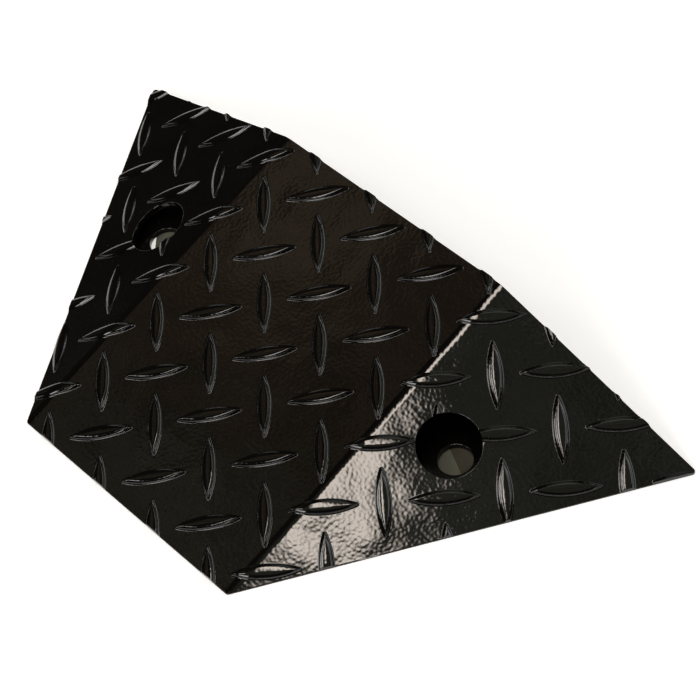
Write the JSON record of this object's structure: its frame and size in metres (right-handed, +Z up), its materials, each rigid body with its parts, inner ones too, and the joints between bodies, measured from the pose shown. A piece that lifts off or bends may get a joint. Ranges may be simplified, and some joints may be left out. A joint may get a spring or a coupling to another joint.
{
  "type": "tread plate wheel ramp",
  "caption": "Low wheel ramp folded from black diamond tread plate, with a sloping deck, two side flanges and access holes over its anchor bolt holes.",
  "frame": {"origin": "centre of the footprint on the ground", "axes": "+Y uphill towards the high back edge, +X across the ramp to its right flange, +Z up"},
  "size_m": [0.3936, 0.192, 0.0467],
  "materials": {
    "tread_coat": "gloss black powder coat with light orange peel",
    "inner_coat": "gloss black powder coat, thinner inside",
    "weld_coat": "black powder coat over weld beads"
  },
  "bodies": {
    "root": {"tread_cover": "tread_coat", "back_plate": "inner_coat", "deck_rib_left": "inner_coat", "deck_rib_centre": "inner_coat", "deck_rib_right": "inner_coat", "anchor_plate_left": "inner_coat", "anchor_plate_right": "inner_coat", "back_seam_weld": "weld_coat", "rib_weld_left": "weld_coat", "rib_weld_centre": "weld_coat", "rib_weld_right": "weld_coat", "anchor_weld_left": "weld_coat", "anchor_weld_right": "weld_coat"}
  },
  "joints": []
}
